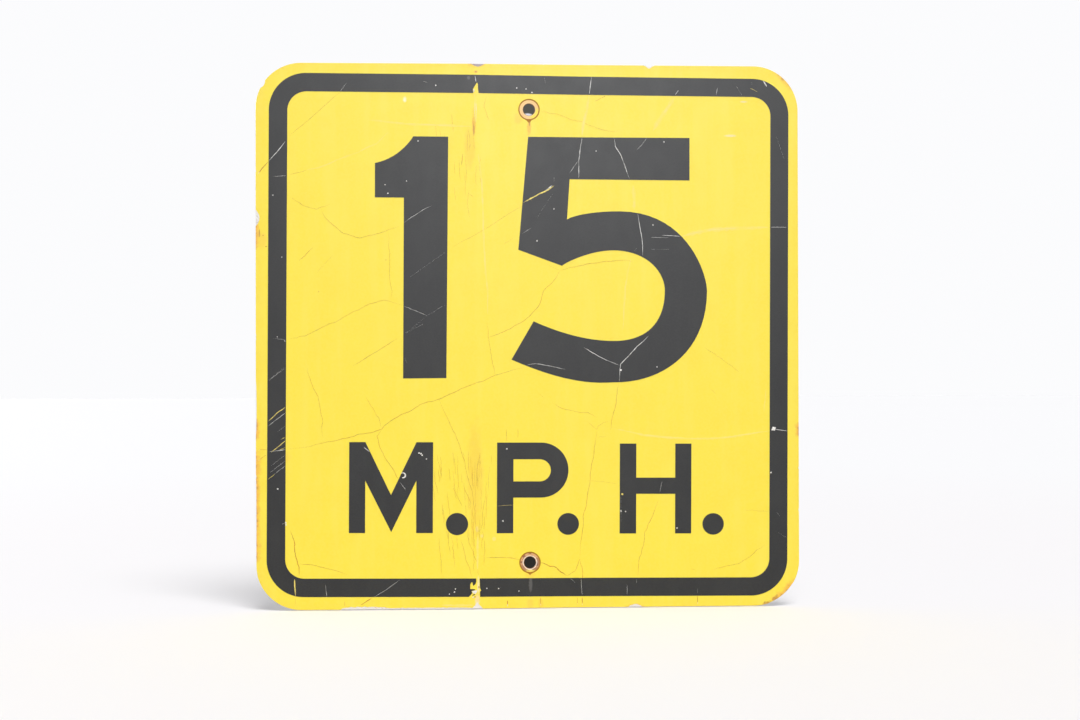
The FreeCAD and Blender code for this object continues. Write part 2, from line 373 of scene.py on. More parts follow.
# Cracks and scratches that can be told apart. Each has its width and then its points on
# the flat blank, across and up from the middle of the sign.
cracks = (
    (0.20, (-201, 135), (-192, 137), (-186, 139)),
    (0.21, (-200, 116), (-189, 109), (-178, 106), (-174, 108), (-167, 110)),
    (0.25, (-175, 107), (-171, 99), (-163, 92), (-156, 86), (-142, 82), (-126, 86), (-109, 92)),
    (0.18, (-118, 86), (-117, 69), (-117, 46), (-115, 37), (-116, 31)),
    (0.24, (-201, -2), (-188, 0), (-176, 6), (-160, 13), (-134, 27), (-122, 30), (-106, 26)),
    (0.28, (-181, 74), (-188, 67), (-193, 63)),
    (0.08, (-163, 69), (-178, 53)),
    (0.18, (-36, 201), (-38, 192), (-34, 180)),
    (0.08, (-49, 162), (-50, 155)),
    (0.30, (-56, 153), (-57, 143)),
    (0.13, (-52, 120), (-46, 116)),
    (0.10, (-13, 83), (-22, 77)),
    (0.19, (8, 188.5), (27, 186), (37, 182), (44, 181), (50, 178), (59, 175), (78, 173)),
    (0.25, (56, 198), (65, 203)),
    (0.30, (26, 55), (22, 48), (12, 38), (7, 24), (-2, 15), (-16, 6), (-23, 3), (-35, -1)),
    (0.25, (26, 55), (38, 58), (51, 61), (65, 63), (81, 64), (88, 62)),
    (0.08, (15, 60), (26, 55)),
    (0.26, (-186, -27), (-183, -38), (-177, -51), (-173, -72), (-174, -76), (-173, -85)),
    (0.32, (-201, -94), (-183, -92), (-165, -88), (-143, -82), (-124, -78), (-119, -73),
     (-108, -66), (-94, -59), (-76, -53), (-65, -48), (-44, -39), (-29, -33), (-6, -27)),
    (0.18, (-137, -51), (-131, -61), (-124, -77)),
    (0.30, (-124, -78), (-128, -84), (-126, -92), (-120, -104), (-112, -117), (-109, -121)),
    (0.22, (-76, -53), (-71, -65), (-62, -84), (-55, -104), (-50, -126), (-44, -165)),
    (0.22, (-36, 13), (-34, -5), (-32, -19), (-29, -33)),
    (0.30, (-37, -186), (-26, -186), (-7, -188.3)),
    (0.26, (-193, -190), (-182, -191), (-171, -194), (-152, -200)),
    (0.58, (-200, -162), (-197, -171), (-196, -183), (-193, -193), (-193, -200)),
    (0.20, (-227, -104), (-219, -99)),
    (0.20, (-227, -95), (-218, -95)),
    (0.18, (19, -56), (27, -61), (40, -64), (58, -69)),
    (0.15, (49, -72), (54, -77), (57, -79), (58, -76), (63, -73), (69, -72)),
    (0.29, (57, -79), (56, -86), (54, -102), (51, -118), (49, -132), (45, -152), (42, -188)),
    (0.12, (58, -85), (65, -85)),
    (0.26, (75, -40), (74, -49), (72, -62), (69, -74), (68, -80)),
    (0.28, (42, -188), (38, -198), (31, -202)),
    (0.34, (42, -188), (44, -195), (44, -205)),
    (0.62, (7, -190.5), (11, -191), (17, -194), (20, -194), (25, -198), (31, -202)),
    (0.27, (109, -139), (104, -152), (97, -166), (96, -177), (92, -190), (91, -204)),
    (0.14, (147, -9), (161, -18), (180, -32)),
    (0.12, (182, -148), (203, -149)),
    (0.22, (200, -177), (187, -187), (177, -193), (155, -198)),
    (0.40, (9, -219.3), (9, -227.3)),
    (0.50, (142, -219), (142, -227.3)),
)
deep_scratches = (
    (0.20, (-156, 206), (-200, 168)),
    (0.52, (-218, 146), (-227, 135)),
    (0.15, (-5, 110), (-64, 75)),
    (0.28, (-148, -25), (-111, -2)),
    (0.60, (-132, -219), (-142, -225)),
    (0.20, (-155, -221), (-155, -226)),
    (0.80, (-19, -222), (-19, -227.3)),
    (0.10, (7, -48), (12, -52)),
    (0.10, (48, -122), (75, -125)),
    (0.10, (153, -45), (158, -49)),
    (0.12, (136, -197), (141, -198)),
    (0.55, (44, -220), (44, -227)),
    (0.24, (40, -220), (40, -226)),
    (0.09, (-196, -218), (-196, -225)),
)
hairlines = (
    ((-77, -111), (-76, -123)), ((-75, -101), (-74, -115)), ((-68, -111), (-67, -122)),
    ((-63, -101), (-62, -117)), ((-65, -126), (-57, -143)), ((-55, -126), (-49, -142)),
    ((-42, -100), (-43, -131)), ((-37, -133), (-42, -165)), ((-39, -170), (-39, -193)),
    ((-53, -163), (-43, -202)), ((-58, -171), (-49, -202)), ((-76, -169), (-74, -200)),
    ((-48, -156), (-46, -179)), ((-20, -78), (-19, -89)), ((-10, -78), (-10, -86)),
)
hairline_width = 0.19
openings = [sliver(points, width, rng) for width, *points in cracks]
openings += [sliver(line, width, rng, rough=0.01) for width, *line in deep_scratches]
openings += [sliver(line, hairline_width, rng) for line in hairlines]

# Two fields of finer hairlines beside the crease, 58 along its lower half and 18 at its
# head. They hang down from the field's top and lean away from the bend the further off
# it they start.
lower_field, upper_field, field_height = [-96] * 58, [205] * 18, 84
field_left, field_right, densest = -88, -30, -48
shortest, longest = 8, 26
thinnest, thickest = 0.10, 0.17
lean_per_mm, lowest_foot = 0.004, -203
for highest in lower_field + upper_field:
    start = rng.triangular(field_left, field_right, densest)
    top = highest - rng.uniform(0, field_height)
    foot = max(top - rng.uniform(shortest, longest), lowest_foot)
    lean = (start - post_left) * lean_per_mm * (top - foot)
    line = ((start, top), (start - lean, foot))
    openings.append(sliver(line, rng.uniform(thinnest, thickest), rng))

# The cut round each washer's rim, drawn down to a point by the rust that ran out of it.
rim_radius, rim_wobble, point_spread = 9.05, 0.15, 0.16
straight_down = 1.5 * math.pi
ring_steps, crookedness = 72, 1.7
for up, drip in zip(hole_heights, (2.2, 0.9)):
    ring = []
    for angle in (math.tau * step / ring_steps for step in range(ring_steps)):
        way = Vector((math.cos(angle), math.sin(angle)))
        wobble = rim_wobble * noise.noise(Vector((way.x, way.y, up)) * crookedness)
        point = drip * math.exp(-(((angle - straight_down) / point_spread) ** 2))
        ring.append(Vector((0.0, up)) + way * (rim_radius + wobble + point))
    openings.append(ring)
pinholes = (
    (-176.4, 37.1, 0.45), (-120.3, 63.6, 0.4), (-222.6, 84.1, 0.5),
    (-220.2, 74.8, 0.5), (-211.1, -1.6, 0.4), (204.8, -114.8, 0.5),
)
openings += [blob(across, up, radius, rng) for across, up, radius in pinholes]

# Chips in the edge: where the middle lies, half the length, the depth, and how blunt the
# ends are.
chips = (
    (-228.6, 98.7, 6.4, 2.6, 2.0),
    (-228.6, -60.0, 22.0, 0.6, 2.0),
    (-228.6, -160.0, 40.0, 0.4, 3.0),
    (-43.0, 228.6, 5.4, 2.3, 1.4),
    (102.0, 228.6, 4.0, 1.2, 2.0),
    (-138.0, -228.6, 20.0, 2.2, 2.6),
    (-88.0, -228.6, 40.0, 1.1, 4.0),
    (-44.4, -228.6, 4.8, 5.8, 0.9),
    (89.0, -228.6, 5.6, 2.4, 1.5),
    (214.0, -219.0, 14.0, 0.5, 2.0),
)
usual_reach, farthest_reach, raggedness = 0.75, 1.2, 0.5
grain_per_mm, nibbles_per_mm = 0.35, 0.16
gnawed_above, deepest_nibble = 0.4, 3.0


def enamel_reach(spot):
    """How far past the blank's outline the enamel still holds, or how far short of it. It
    reaches most of a millimetre round the edge, ragged, gnawed in places and chipped."""
    grain = noise.fractal(Vector((spot.x, spot.y, 0)) * grain_per_mm, 1.0, 2.0, 4)
    nibble = noise.noise(Vector((spot.x, spot.y, 40)) * nibbles_per_mm)
    reach = min(usual_reach + raggedness * grain, farthest_reach)
    reach -= deepest_nibble * max(nibble - gnawed_above, 0.0)
    for across, up, half_long, deep, blunt in chips:
        away = (spot - Vector((across, up))).length / half_long
        if away < 1:
            shape = (1 - away**blunt) ** (1 / blunt)
            reach = min(reach, -deep * shape * (1 + 0.3 * grain))
    return reach


enamel = Finish("yellow_enamel", roughness=0.4, specular=0.3)
FRESH_YELLOW = colour(0.97, 0.775, 0.056)
FADED_YELLOW = colour(0.975, 0.80, 0.098)
DEEP_YELLOW = colour(0.967, 0.75, 0.050)
RUST_STAIN = colour(0.90, 0.47, 0.07)
RUST_RUN = colour(0.52, 0.25, 0.05)
CHALK = colour(0.93, 0.80, 0.50)
CREAM = colour(0.97, 0.93, 0.66)


def sprayed_yellow(finish):
    """The yellow as sprayed, since faded in streaks and blotches."""
    streaks = finish.step(finish.cloud(9.0, tall=12.0, seed=4.0), 0.4, 0.7, most=0.5)
    blotches = finish.step(finish.cloud(26.0, seed=9.0), 0.4, 0.7, most=0.5)
    grain = finish.step(finish.cloud(2.2, seed=13.0, detail=1.0), 0.3, 0.7, most=0.35)
    faded = finish.mix(streaks, FRESH_YELLOW, FADED_YELLOW)
    return finish.mix(grain, finish.mix(blotches, faded, DEEP_YELLOW), FADED_YELLOW)


yellow = sprayed_yellow(enamel)
chalky = enamel.patches(
    (
        (-45.1, 190.0, 1.4, 12.0),
        (171.0, 169.5, 6.5, 1.3),
        (182.3, 198.4, 4.0, 0.9),
        (-43.4, -209.0, 1.3, 9.0),
        (-44.3, -221.5, 2.6, 6.0),
    ),
    most=0.75,
)
yellow = enamel.mix(chalky, yellow, CHALK)
cream_spot = enamel.patch(-104.2, 198.3, 2.1, 3.1, soft=0.8, most=0.9)
yellow = enamel.mix(cream_spot, yellow, CREAM)
pink_spots = ((-40.4, -167.8, 1.8, 1.8), (-30.2, -170.4, 2.2, 2.2), (-44.5, -162.0, 1.8, 3.4))
yellow = enamel.mix(enamel.patches(pink_spots, most=0.3), yellow, CHALK)
faint_stains = enamel.patches(
    (
        (-50.0, 158.0, 6.0, 22.0),
        (-46.0, -120.0, 9.0, 60.0),
        (0.0, -201.0, 6.0, 3.4),
        (-9.0, 183.0, 5.0, 6.0),
        (-223.0, 80.0, 5.0, 9.0),
        (-207.0, -101.0, 9.0, 7.0),
        (0.0, -225.0, 4.0, 6.0),
        (9.0, -225.0, 3.0, 6.0),
        (-44.2, -220.0, 2.6, 4.0),
    ),
    most=0.25,
)
yellow = enamel.mix(faint_stains, yellow, RUST_STAIN)
stains = enamel.patches(
    ((0.0, 175.0, 2.2, 8.0), (-46.6, 176.0, 2.0, 10.0), (-44.7, 221.9, 2.2, 1.6)),
    ragged=0.4,
    most=0.7,
)
yellow = enamel.mix(stains, yellow, RUST_STAIN)
past = enamel.past_edge()
yellow = enamel.mix(enamel.step(past, -9.0, 0.0, most=0.08), yellow, RUST_STAIN)
gnawed = enamel.sums("ADD", past, enamel.sums("MULTIPLY", enamel.cloud(3.5, seed=6.0), 8.0))
rusty_edges = enamel.patches(
    (
        (-229.0, -78.0, 7.0, 12.0),
        (-229.0, -108.0, 9.0, 15.0),
        (-229.0, -176.0, 9.0, 16.0),
        (-228.0, -142.0, 5.0, 40.0),
        (-228.0, 85.0, 4.0, 14.0),
        (229.0, -80.0, 7.0, 8.0),
        (227.0, 227.0, 20.0, 20.0),
        (-214.0, 230.0, 14.0, 8.0),
        (219.0, -220.0, 22.0, 16.0),
        (89.0, -229.0, 9.0, 4.0),
        (-44.0, 229.0, 9.0, 4.0),
    ),
    ragged=0.4,
)
edge_stain = enamel.sums("MULTIPLY", rusty_edges, enamel.step(gnawed, -1.2, 3.4, most=0.85))
yellow = enamel.mix(edge_stain, yellow, RUST_STAIN)
edge_crust = enamel.sums("MULTIPLY", rusty_edges, enamel.step(gnawed, 2.8, 4.6, most=0.8))
yellow = enamel.mix(edge_crust, yellow, RUST_RUN)
rust_runs = enamel.patches(
    (
        (0.4, 179.0, 0.9, 3.6),
        (0.0, -200.3, 1.2, 1.2),
        (-225.5, 86.0, 0.8, 4.6),
        (-44.7, 221.9, 1.0, 0.9),
        (-46.6, 173.0, 0.6, 6.0),
        (-46.2, -218.8, 1.0, 1.0),
        (-43.0, -210.7, 0.8, 1.6),
    ),
    ragged=0.2,
    most=0.8,
)
yellow = enamel.mix(rust_runs, yellow, RUST_RUN)
crust = ((202.5, -227.0, 6.0, 2.6), (208.5, -223.0, 4.0, 3.4))
yellow = enamel.mix(enamel.patches(crust, ragged=0.9, most=0.8), yellow, RUST_RUN)
enamel.paint("Base Color", yellow)
enamel.paint("Roughness", enamel.step(enamel.cloud(14.0, seed=12.0), 0.3, 0.7, 0.42, 0.48))
enamel.relief(enamel.cloud(1.8, detail=2.0), depth=0.006)

# The coat's rim is built in rings, from well inside the outline to as far round the edge
# as the enamel holds. Where the steel's corner is dented and its top edge nicked, by round
# things of these radii, the outline steps back as the steel's does.
stops = (-1.2, -edge_roll, -0.15, 0.0, 0.2, 9.0)
margin = 0.05
knocks = ((-226.8, 213.2, 6.0), (102.0, 229.8, 2.6))
rings = [[] for _ in stops]
blank = stepped(rounded_square(half_plate, half_plate, corner_radius, steps=60), 1.0)
for i, spot in enumerate(blank):
    way = blank[(i + 1) % len(blank)] - blank[i - 1]
    outward = Vector((way.y, -way.x)).normalized()
    for across, up, radius in knocks:
        from_centre = spot - Vector((across, up))
        ahead = from_centre.dot(outward)
        depth = radius**2 - from_centre.length_squared + ahead**2
        if from_centre.length < radius:
            spot = spot - outward * (ahead + math.sqrt(depth))
    reach = enamel_reach(spot)
    for ring, stop, rank in zip(rings, stops, range(len(stops) - 1, -1, -1)):
        ring.append((spot, outward, min(stop, reach - margin * rank)))
inner_loop = [spot + outward * past for spot, outward, past in rings[0]]
spots, faces, joins = cut_out(inner_loop, openings)
tops = [on_face(spot.x, spot.y, enamel_top) for spot in spots]
feet = [on_face(spot.x, spot.y, enamel_foot) for spot in spots]
for ring in rings[1:]:
    outer_joins = list(range(len(tops), len(tops) + len(ring)))
    tops += [over_edge(spot, outward, past, enamel_top) for spot, outward, past in ring]
    feet += [over_edge(spot, outward, past, enamel_foot) for spot, outward, past in ring]
    for i in range(len(ring)):
        faces.append((joins[i - 1], outer_joins[i - 1], outer_joins[i], joins[i]))
    joins = outer_joins
film("yellow_enamel", enamel, tops, feet, faces)

# The two washer prints. Under each bolt's washer the enamel was pressed into the steel and
# kept its colour less well: stained flesh pink by rust, with a bare pale lip at the hole.
prints = Finish("washer_print", roughness=0.5, specular=0.3)
PEACH = colour(0.95, 0.60, 0.24)
ROSY_RUST = colour(0.30, 0.13, 0.07)
BARE_LIP = colour(0.95, 0.82, 0.72)
flesh = prints.mix(prints.patch(6.5, 186.0, 9.0, 8.0, most=0.9), PEACH, FRESH_YELLOW)
grubby = prints.step(prints.cloud(2.6, seed=7.0), 0.38, 0.6)
rosy = prints.mix(grubby, ROSY_RUST, colour(0.74, 0.42, 0.19))
dirt = ((7.4, -190.5, 3.0, 5.0), (-6.2, -195.2, 4.6, 4.6), (5.5, -196.4, 3.0, 3.0))
rosy = prints.mix(prints.patches(dirt, ragged=0.5, most=0.7), rosy, ROSY_RUST)
rosy = prints.mix(prints.patch(0.5, -198.4, 6.0, 3.0, most=0.8), rosy, FADED_YELLOW)
lower = prints.step(prints.axis("Z"), 1.0, -1.0)
lips = prints.patches([(0.0, up, 6.3, 6.3) for up in hole_heights], soft=0.1, ragged=0.08)
paler = prints.sums("ADD", prints.sums("MULTIPLY", lower, 0.8), 0.2)
lips = prints.sums("MULTIPLY", lips, paler)
flesh = prints.mix(lips, prints.mix(lower, flesh, rosy), BARE_LIP)
prints.paint("Base Color", flesh)
prints.relief(prints.cloud(0.9), depth=0.02)
print_radius, lip_radius = 8.0, 5.35


def circle(centre, radius, steps):
    """A full circle's points, against the clock."""
    return arc(centre, radius, 0, 360, steps)[:-1]


for name, up in zip(("washer_print_top", "washer_print_foot"), hole_heights):
    edge = circle((0.0, up), print_radius, steps=60)
    hole = circle((0.0, up), lip_radius, steps=48)
    coat(name, prints, [(edge, [hole])], top=-0.1, foot=-0.23)

# The black border. Screen printed over the yellow, a little askew on the plate. It has
# flaked off along the crease, at the top and at the foot, down to the yellow.
print_middle = Vector((0.42, 0.03))
print_tilt = Matrix.Rotation(math.radians(-0.336), 2)
ink_top, ink_foot = 0.27, 0.1
ink = Finish("black_ink", roughness=0.4, specular=0.3)
INK = colour(0.018, 0.018, 0.019)
DUSTY_INK = colour(0.032, 0.032, 0.032)
dust = ink.sums("ADD", ink.cloud(16.0, tall=2.0, seed=21.0), ink.cloud(1.6, tall=0.5, seed=22.0))
black = ink.mix(ink.step(dust, 0.7, 1.3, most=0.5), INK, DUSTY_INK)
rubbed = ink.patches(
    ((-50.8, 216.8, 1.8, 2.0), (0.5, -209.0, 2.0, 8.0), (-10.0, 209.0, 1.0, 1.0)), most=0.35
)
black = ink.mix(rubbed, black, colour(0.22, 0.21, 0.21))
ink.paint("Base Color", black)
ink.paint("Roughness", ink.step(ink.cloud(11.0, seed=23.0), 0.3, 0.7, 0.43, 0.46))
ink.relief(ink.cloud(1.5, detail=2.0), depth=0.005)


def printed(points):
    """Moves points from the printing screen's own frame to the plate."""
    return [print_middle + print_tilt @ Vector(point) for point in points]


flaked = [
    [(-44.9, 211.2), (-43.8, 212.9), (-43.0, 211.6), (-43.0, 208.3), (-42.3, 202.5)]
    + [(-46.6, 202.5), (-47.3, 207.0), (-46.2, 209.1)],
    [(-45.3, -202.4), (-42.4, -202.4), (-42.1, -211.4), (-41.0, -213.4), (-42.1, -214.4)]
    + [(-42.1, -220.3), (-52.9, -220.2), (-49.7, -217.0), (-48.6, -215.7), (-49.1, -213.8)]
    + [(-46.7, -213.3), (-46.0, -212.4), (-50.3, -212.1), (-50.2, -208.4), (-49.2, -206.5)]
    + [(-48.3, -206.8), (-47.8, -209.6), (-45.8, -208.0), (-45.2, -205.9)],
    [(-204.6, -155.0), (-203.0, -154.0), (-203.0, -160.6), (-204.3, -160.0)],
]
flaked = [[Vector(point) for point in flake] for flake in flaked]
border = printed(rounded_square(219.2, 219.05, 31.0))
window = printed(rounded_square(203.8, 203.65, 16.0))
left_on = [(-48.8, -218.2), (-47.8, -217.5), (-46.3, -217.1), (-46.1, -216.4), (-48.0, -216.8)]
left_on = [Vector(point) for point in left_on]
coat("black_border", ink, [(border, [window] + flaked), (left_on, [])], ink_top, ink_foot)

# The figure 1 of the limit, screen printed with the border in the same black ink. Its flag
# is a shallow curve, and the rest is straight.
flag_foot, flag_head = (-130.55, 144.1), (-98.6, 166.8)
flag = geometry.interpolate_bezier(flag_foot, (-115.0, 147.5), (-104.5, 157.5), flag_head, 16)
one = [(-69.4, 166.75), (-70.1, -35.8), (-106.3, -36.3), (-106.3, 115.3), (-130.55, 115.3)]
one = printed(flag + [Vector(point) for point in one])
coat("numeral_one", ink, [(one[::-1], [])], ink_top, ink_foot)

# The figure 5, of the same print and ink. It has a straight top stroke and back, and a
# round open bowl.


def curve(*knots):
    """A smooth outline through Bezier pieces: a knot, then two handles and a knot each."""
    spots = [Vector(knots[0])]
    for first, second, end in zip(knots[1::3], knots[2::3], knots[3::3]):
        spots += geometry.interpolate_bezier(spots[-1], first, second, end, 20)[1:]
    return spots


outer_bowl = curve(
    (30.9, 98.2), (36.6, 101.9), (53.9, 105.5), (76.1, 105.5), (133.4, 105.5), (150.0, 52.7),
    (150.0, 38.7), (150.0, -13.4), (112.0, -38.9), (72.4, -38.9), (63.3, -38.9),
    (38.3, -43.5), (-15.5, -20.1),
)
inner_bowl = curve(
    (3.0, 12.2), (27.6, 1.3), (50.5, -4.0), (70.6, -4.0), (101.8, -4.0), (114.1, 14.8),
    (114.1, 38.6), (114.1, 54.4), (99.1, 72.5), (70.5, 72.5), (49.8, 72.5), (27.7, 60.8),
    (26.9, 59.1),
)
five = [(-10.1, 72.3), (-2.2, 167.5), (134.7, 168.2), (134.8, 132.2), (33.0, 132.2)]
five = printed([Vector(point) for point in five] + outer_bowl + inner_bowl)
coat("numeral_five", ink, [(five[::-1], [])], ink_top, ink_foot)

# The letters under the figures, M, P and H with a full stop after each, of the same print
# and ink. They are plain block letters with straight ends.
stem_heads, stem_feet = -89.6, -165.6
letter_m = [
    (-151.0, stem_feet), (-137.5, stem_feet), (-137.5, -121.8), (-115.7, -164.8),
    (-94.85, -121.8), (-94.85, stem_feet), (-80.95, stem_feet), (-80.95, stem_heads),
    (-94.85, stem_heads), (-116.0, -133.8), (-137.5, stem_heads), (-151.0, stem_heads),
]
coat("letter_m", ink, [(printed(letter_m), [])], ink_top, ink_foot)
p_bowl = arc((9.8, -112.9), 23.1, 90, -180, steps=30)
p_stem = [(-13.55, -136.0), (-13.55, -165.85), (-27.35, -165.85), (-27.35, -89.8)]
p_eye = arc((8.7, -113.1), 9.3, 90, -180, steps=24) + [(-13.55, -122.4), (-13.55, -103.8)]
letter_p = printed(p_bowl + p_stem)[::-1]
coat("letter_p", ink, [(letter_p, [printed(p_eye)])], ink_top, ink_foot)
h_head, h_foot = -90.55, -166.35
letter_h = [
    (76.35, h_foot), (90.3, h_foot), (90.3, -132.9), (123.4, -132.9), (123.4, h_foot),
    (137.1, h_foot), (137.1, h_head), (123.4, h_head), (123.4, -119.3), (90.3, -119.3),
    (90.3, h_head), (76.35, h_head),
]
coat("letter_h", ink, [(printed(letter_h), [])], ink_top, ink_foot)
stops_at = ((-60.7, -158.1, 9.3), (32.8, -158.2, 9.15), (155.8, -158.4, 9.1))
full_stops = [
    (printed(circle((across, up), radius, steps=40)), [])
    for across, up, radius in stops_at
]
coat("full_stops", ink, full_stops, ink_top, ink_foot)

# Scratches in the print. Dragged through the black down to the pale undercoat, some of
# them skipping over the paint. Each has its width and then its points, and the skipping
# ones have their points alone.
scratched = Finish("scratched_undercoat", roughness=0.6, specular=0.25)
SCRATCH = colour(0.80, 0.79, 0.76)
FAINT_SCRATCH = colour(0.38, 0.375, 0.36)
worn_in = scratched.step(scratched.cloud(5.0, seed=31.0), 0.36, 0.58)
scratched.paint("Base Color", scratched.mix(worn_in, FAINT_SCRATCH, SCRATCH))
scratched.relief(scratched.cloud(0.7), depth=0.03)
black_scratches = (
    (0.58, (53, 218.8), (52, 212), (51, 204)),
    (0.28, (127, 208), (124, 203.8)),
    (0.12, (-153, 212), (-158, 205)),
    (0.20, (160, 210), (159, 203.8)),
    (0.55, (45, 167.5), (43, 156), (42, 148), (42, 133)),
    (0.25, (42, 149), (34, 137)),
    (0.45, (72, 167), (73, 160), (78, 152), (82, 141), (85, 132.5)),
    (0.18, (100, 168), (96, 162), (91, 157)),
    (0.48, (92, 103), (93, 96), (95, 85), (96, 76), (96, 68)),
    (0.16, (103, 83), (118, 83)),
    (0.36, (112, 85), (128, 84)),
    (0.50, (101, 0), (91, -9), (77, -24), (76, -38)),
    (0.36, (46, -10), (58, -17), (76, -25)),
    (0.32, (-2, -24.6), (4.6, -23.4), (10, -24), (20, -26), (30, -28.2)),
    (0.22, (-105, 95), (-87, 107), (-82, 109)),
    (0.20, (-105, 25), (-86, 17)),
    (0.26, (205, 92), (219, 92)),
    (0.34, (206, -79), (219, -81)),
    (0.48, (-204, 163), (-218, 146)),
    (0.18, (-214, 133.5), (-203, 134)),
    (0.10, (-214, -2), (-204, -3)),
    (0.24, (-218, -96.5), (-203.8, -94.6)),
    (0.40, (-211, -96), (-204, -94.6)),
    (0.07, (-204, -75), (-211, -80)),
    (0.13, (-204, -104), (-217, -114)),
    (0.08, (-204, -99), (-217, -109)),
    (0.16, (-204, -108), (-213.5, -115.4)),
    (0.60, (-139, -93), (-134, -97)),
    (0.18, (-109, -122), (-104, -129)),
    (0.20, (-109, -203.8), (-131, -218.6)),
    (0.20, (-171, -208), (-170, -218)),
    (0.22, (43, -204), (44, -218.6)),
    (0.16, (82, -210), (82, -218.4)),
    (0.14, (142, -214), (142, -218.2)),
    (0.22, (2, 91), (-6, 86)),
    (0.16, (112, -123), (110, -132)),
    (0.45, (-45.5, 218.7), (-44.6, 213.3)),
    (1.00, (199.3, 216.4), (202.3, 211.4)),
    (0.24, (-203.9, -63.6), (-218.4, -75.2)),
    (0.13, (-203.9, -26.6), (-218.0, -37.2)),
    (0.75, (13.6, 122.2), (19.4, 126.7)),
)
broken_scratches = (
    ((-71, 70), (-102, 48)), ((-71, 26), (-86, 17), (-99, 6)), ((-89, 10), (-105, 2)),
    ((-105, -18), (-102, -24)), ((13, 218), (14, 213)), ((175, 214), (181, 204)),
    ((189, 216), (190, 212)), ((210, 170), (217, 150)), ((21, 134), (21, 129)),
    ((20, 120), (14, 111), (7, 100)), ((91, 74), (88, 70)), ((103, 73), (120, 73)),
    ((-205, -26), (-218, -37)), ((-204, -155), (-208, -158)), ((210, -150), (212, -153)),
    ((211, -167), (217, -171)), ((34, -204), (38, -208)), ((90, -205), (90, -209)),
    ((77, -136), (77, -158)), ((-89, 213.5), (-86, 213)),
)


def dashes(points, rng, every=2.0, share=0.6):
    """Splits a line into the short dashes of a scratch that only skipped over the paint."""
    short = []
    for start, end in zip(map(Vector, points), map(Vector, points[1:])):
        long = (end - start).length
        for step in range(max(1, round(long / every))):
            near = min((step + rng.uniform(0.0, 0.4)) * every / long, 0.9)
            far = near + rng.uniform(0.5, 1.5) * share * every / long
            short.append((start.lerp(end, near), start.lerp(end, min(far, 1.0))))
    return short


scratches = [(sliver(line, width, rng, 0.012), []) for width, *line in black_scratches]
for line in broken_scratches:
    for dash in dashes(line, rng):
        scratches.append((sliver(dash, rng.uniform(0.4, 0.7), rng, 0.02), []))
coat("print_scratches", scratched, scratches, top=0.33, foot=0.15)

# Scratches that only took the black off. The yellow under it shows, soiled in places, and
# one spot of it lies open in the H where the black has popped off.
bare_yellow = Finish("scratched_to_yellow", roughness=0.5, specular=0.3)
worn_in = bare_yellow.step(bare_yellow.cloud(5.0, seed=33.0), 0.38, 0.62)
dirty_yellow = colour(0.50, 0.40, 0.12)
bare_yellow.paint("Base Color", bare_yellow.mix(worn_in, dirty_yellow, colour(0.95, 0.77, 0.16)))
bare_yellow.relief(bare_yellow.cloud(0.7), depth=0.03)
yellow_scratches = (
    (1.00, (21, 126.5), (12, 121), (4, 117), (-5, 112)),
    (0.60, (-204, -59), (-211, -64), (-218.4, -71)),
    (0.34, (-204, -84.3), (-207.8, -86.4)),
    (0.60, (-203.8, -87), (-216, -97)),
    (0.95, (-196.8, -203), (-196, -217.5)),
    (0.34, (188, 210), (194, 207)),
    (0.20, (-28, -143), (-14, -142)),
    (0.34, (-204, -92.8), (-209.2, -95.2)),
    (0.20, (-212.5, -114.6), (-218.9, -119.8)),
)
yellow_scratches = [(sliver(line, width, rng, 0.02), []) for width, *line in yellow_scratches]
yellow_scratches += [(blob(78.2, -133.7, 0.9, rng), [])]
coat("scratches_to_yellow", bare_yellow, yellow_scratches, top=0.32, foot=0.15)

# Chalk lines. Where something was wiped along the enamel it left faint pale lines, each a
# narrow core in a wider haze, so they are laid twice.
chalk_lines = (
    (0.18, (-186, 139), (-176, 141), (-162, 147), (-143, 154), (-128, 161), (-118, 171)),
    (0.34, (-135, 181), (-115, 179), (-81, 177), (-49, 176)),
    (0.24, (-46, 204), (-45, 181)),
    (0.30, (-43, 153), (-40, 131), (-39, 106), (-38, 75), (-36, 46), (-35, 18)),
    (0.20, (86, 65), (81, 40), (80, 24), (79, 5)),
    (0.50, (51, 203), (49, 190), (46, 179), (45, 169)),
    (0.72, (124, 202), (117, 192), (109, 180), (105, 173)),
    (0.58, (88, 127), (89, 116), (89, 106)),
    (0.62, (129, 84), (140, 87), (155, 90), (172, 91), (203, 92)),
    (0.36, (-44, -167), (-44, -196)),
    (0.34, (70, -78), (85, -81), (97, -84), (116, -86), (134, -87), (153, -87), (168, -86),
     (181, -84), (203, -81)),
    (0.20, (201, -45), (199, -65)),
    (0.30, (-75, -225.5), (-46, -226)),
)
for name, spread, chalkiness, lift in (
    ("chalk_haze", 5.0, 0.16, 0.17),
    ("chalk_lines", 2.0, 0.34, 0.19),
):
    chalk = Finish(name, roughness=0.5, specular=0.3)
    bloom = chalk.cloud(8.0, seed=35.0)
    bloom = chalk.step(bloom, 0.3, 0.6, least=chalkiness / 3, most=chalkiness)
    chalk.paint("Base Color", chalk.mix(bloom, sprayed_yellow(chalk), CHALK))
    chalk.relief(chalk.cloud(0.7), depth=0.01)
    wiped = [(sliver(line, spread * width, rng, 0.015), []) for width, *line in chalk_lines]
    coat(name, chalk, wiped, top=lift, foot=0.1)

